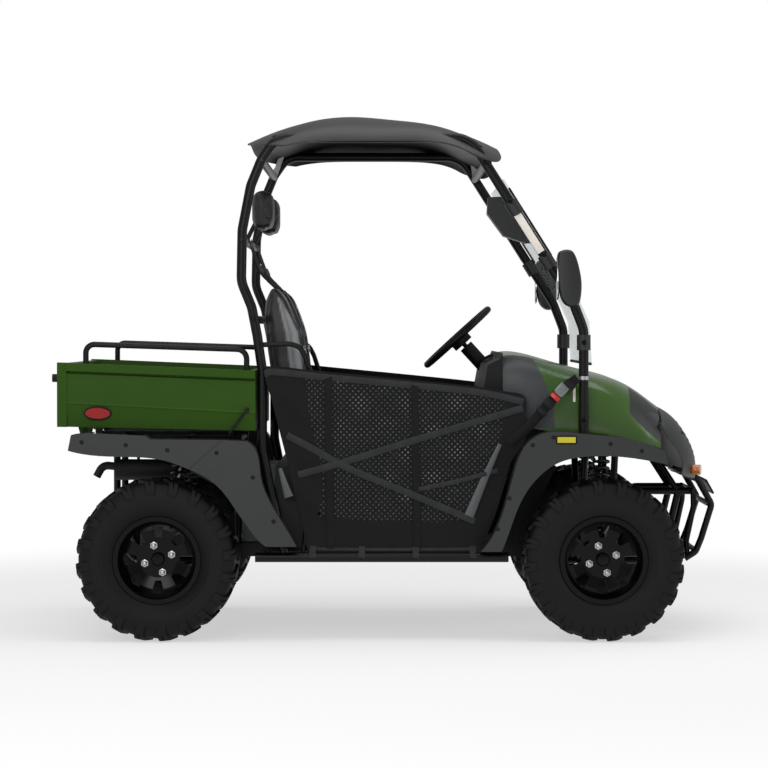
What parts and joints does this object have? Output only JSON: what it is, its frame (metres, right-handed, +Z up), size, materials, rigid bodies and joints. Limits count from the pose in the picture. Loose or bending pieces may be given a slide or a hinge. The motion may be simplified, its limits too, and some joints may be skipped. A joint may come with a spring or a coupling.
{
  "type": "side by side utility vehicle",
  "caption": "Open off-road utility vehicle with seats side by side, a roll cage with a roof, side nets, knobbly tyres and a tilting cargo bed.",
  "frame": {"origin": "on the ground, under the middle of the overall box", "axes": "+X to the front of the vehicle, +Y to the driver's left, +Z up"},
  "size_m": [2.636, 1.54, 2.0721],
  "materials": {
    "green_paint": "gloss olive green paint",
    "green_plastic": "gloss green moulded panels",
    "grey_plastic": "satin dark grey moulded plastic",
    "black_plastic": "satin black moulded plastic",
    "black_tube": "black powder coat on steel tube",
    "black_rim": "gloss black painted alloy",
    "tyre": "black knobbly off-road rubber",
    "cast_metal": "plain cast aluminium",
    "steel": "plain steel",
    "seat_cover": "black vinyl seat cover with a grey bolster",
    "clear_sheet": "clear polycarbonate",
    "lamp_clear": "clear lamp lens",
    "lamp_red": "red lamp lens",
    "lamp_amber": "amber lens",
    "bright_metal": "bright zinc plate",
    "net_web": "black woven net and webbing"
  },
  "bodies": {
    "chassis": {"lower_frame": "black_tube", "floor_pan": "black_plastic", "cage_right": "black_tube", "cage_left": "black_tube", "cage_crossbars": "black_tube", "roof_panel": "black_plastic", "windshield": "clear_sheet", "windshield_clamps": "black_plastic", "side_mirrors": "black_plastic", "headrests": "seat_cover", "seat_backs": "seat_cover", "seat_cushions": "seat_cover", "seat_plinth": "black_plastic", "hip_bars": "black_tube", "dashboard": "black_plastic", "cowl_sides": "grey_plastic", "hood": "green_plastic", "front_side_panels": "green_plastic", "front_fascia": "black_plastic", "lamp_surrounds": "black_plastic", "headlamps": "lamp_clear", "signal_lamps": "lamp_amber", "front_flares": "grey_plastic", "rear_flares": "grey_plastic", "side_nets": "net_web", "front_bumper": "black_tube", "front_arms": "black_tube", "front_shocks": "black_tube", "rear_arms": "black_tube", "rear_shocks": "black_tube", "rear_uprights": "cast_metal", "drive_shafts": "steel", "gearcases": "cast_metal", "engine_block": "cast_metal", "exhaust": "black_tube", "steering_column": "black_plastic", "steering_rack": "cast_metal", "roof_brackets": "bright_metal", "seat_belts": "net_web"},
    "bed": {"cargo_bed": "green_paint", "bed_rails": "black_tube", "tail_lamps": "lamp_red", "bed_lever": "black_tube"},
    "gate": {"tailgate": "green_paint", "tailgate_latches": "black_plastic"},
    "hand_wheel": {"steering_wheel": "black_plastic"},
    "rack_and_rods": {"tie_rods": "steel"},
    "steered_knuckle_right": {"knuckle_right": "cast_metal"},
    "steered_knuckle_left": {"knuckle_left": "cast_metal"},
    "wheel_front_right": {"tyre_front_right": "tyre", "rim_front_right": "black_rim"},
    "wheel_front_left": {"tyre_front_left": "tyre", "rim_front_left": "black_rim"},
    "wheel_rear_right": {"tyre_rear_right": "tyre", "rim_rear_right": "black_rim"},
    "wheel_rear_left": {"tyre_rear_left": "tyre", "rim_rear_left": "black_rim"}
  },
  "joints": [
    {"name": "bed_tilt", "type": "hinge", "parent": "chassis", "child": "bed", "pos_m": [-1.212, 0, 0.806], "axis": [0, -1, 0], "range_deg": [0, 45]},
    {"name": "gate_drop", "type": "hinge", "parent": "bed", "child": "gate", "pos_m": [-1.268, 0, 0.845], "axis": [0, -1, 0], "range_deg": [0, 90]},
    {"name": "steer_left", "type": "hinge", "parent": "chassis", "child": "steered_knuckle_left", "pos_m": [0.838, 0.523, 0.316], "axis": [0, 0, 1], "range_deg": [-28, 28]},
    {"name": "steer_right", "type": "hinge", "parent": "chassis", "child": "steered_knuckle_right", "pos_m": [0.838, -0.523, 0.316], "axis": [0, 0, 1], "range_deg": [-28, 28]},
    {"name": "hand_wheel_turn", "type": "hinge", "parent": "chassis", "child": "hand_wheel", "pos_m": [0.296, 0.29, 1.179], "axis": [-0.6744, 0, 0.7384], "range_deg": [-270, 270]},
    {"name": "rack_slide", "type": "slide", "parent": "chassis", "child": "rack_and_rods", "axis": [0, 1, 0], "range_m": [-0.0352, 0.0352]},
    {"name": "spin_front_right", "type": "hinge", "parent": "steered_knuckle_right", "child": "wheel_front_right", "pos_m": [0.838, -0.5825, 0.316], "axis": [0, 1, 0], "continuous": true},
    {"name": "spin_front_left", "type": "hinge", "parent": "steered_knuckle_left", "child": "wheel_front_left", "pos_m": [0.838, 0.5825, 0.316], "axis": [0, 1, 0], "continuous": true},
    {"name": "spin_rear_right", "type": "hinge", "parent": "chassis", "child": "wheel_rear_right", "pos_m": [-0.895, -0.56, 0.316], "axis": [0, 1, 0], "continuous": true},
    {"name": "spin_rear_left", "type": "hinge", "parent": "chassis", "child": "wheel_rear_left", "pos_m": [-0.895, 0.56, 0.316], "axis": [0, 1, 0], "continuous": true}
  ],
  "couplings": [
    {"joint": "steer_right", "follows": "steer_left", "ratio": 1},
    {"joint": "hand_wheel_turn", "follows": "steer_left", "ratio": 9.64},
    {"joint": "rack_slide", "follows": "steer_left", "m_per_rad": -0.072}
  ]
}
